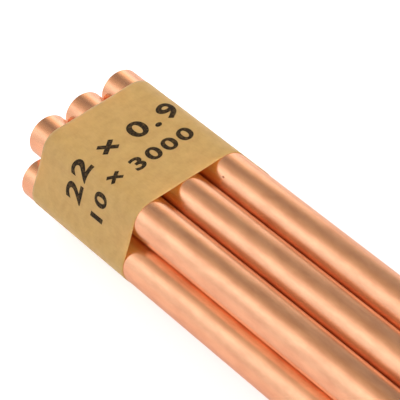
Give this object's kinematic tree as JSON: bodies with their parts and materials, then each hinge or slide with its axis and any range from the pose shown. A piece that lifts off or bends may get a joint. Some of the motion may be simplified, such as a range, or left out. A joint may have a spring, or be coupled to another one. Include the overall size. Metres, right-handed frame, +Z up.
{
  "type": "copper pipe bundle",
  "caption": "Banded bundle of straight copper plumbing pipes in a close hexagonal pack, with square-cut deburred ends and a kraft paper band round it near each end.",
  "frame": {"origin": "under the middle of the bundle, on the plane that the undersides of its paper bands rest on", "axes": "+X along the pipes, away from the pictured end; +Z up; +Y to the right in the picture"},
  "size_m": [3.0034, 0.0893, 0.0612],
  "materials": {
    "copper": "bright drawn copper, satin",
    "kraft_paper": "matt brown kraft paper"
  },
  "bodies": {
    "root": {"top_pipe_1": "copper", "top_pipe_2": "copper", "top_pipe_3": "copper", "middle_pipe_1": "copper", "middle_pipe_2": "copper", "middle_pipe_3": "copper", "middle_pipe_4": "copper", "bottom_pipe_1": "copper", "bottom_pipe_2": "copper", "bottom_pipe_3": "copper", "left_paper_band": "kraft_paper", "right_paper_band": "kraft_paper"}
  },
  "joints": []
}
